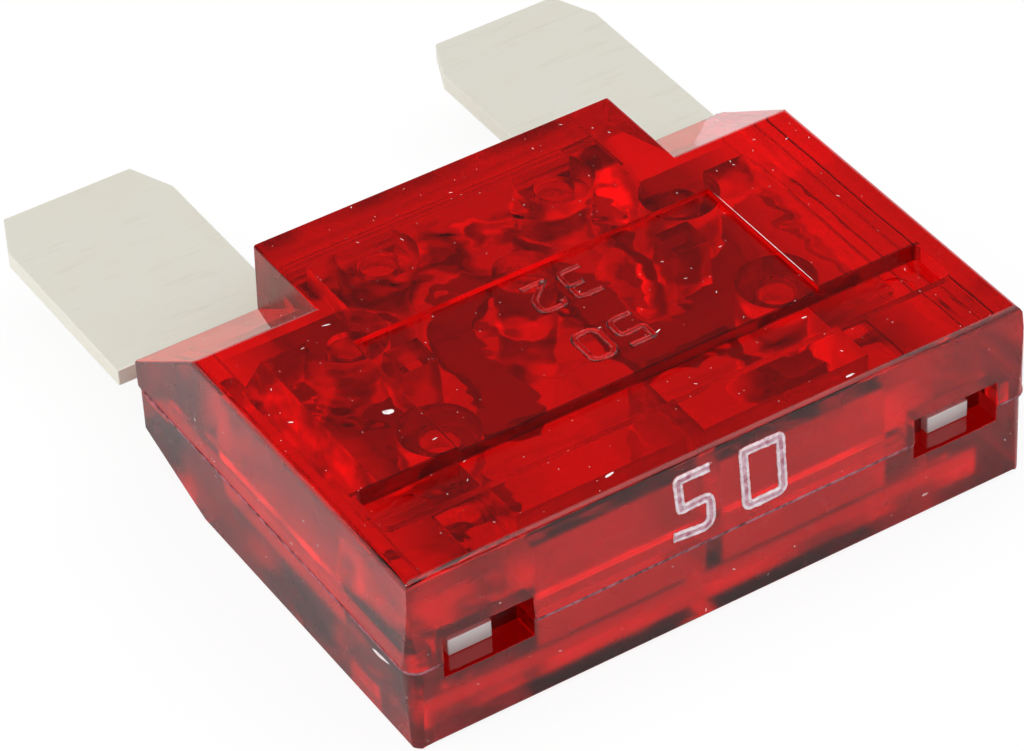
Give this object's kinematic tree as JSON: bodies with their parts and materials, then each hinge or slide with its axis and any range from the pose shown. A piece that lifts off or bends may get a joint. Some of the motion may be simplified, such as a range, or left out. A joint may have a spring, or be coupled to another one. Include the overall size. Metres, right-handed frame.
{
  "type": "automotive blade fuse",
  "caption": "Large blade fuse with a clear red moulded housing, bevelled shoulders, flat metal blades, an arched link inside and probe slots in the end face.",
  "frame": {"origin": "under the middle of the whole fuse's length and width, on the plane that it lies on", "axes": "+Y along the blades, from the numbered end face to the blade tips; +Z through the thickness, from the back face to the front face; +X across the two blades"},
  "size_m": [0.0296, 0.0342, 0.0084],
  "materials": {
    "front_plastic": "clear red moulded plastic, glossy, with fine scratches",
    "back_plastic": "clear red moulded plastic, glossy, with fine scratches",
    "element_metal": "plain stamped zinc alloy, dull silver with faint lines across the blades"
  },
  "bodies": {
    "root": {"front_shell": "front_plastic", "back_shell": "back_plastic", "fuse_element": "element_metal"}
  },
  "joints": []
}
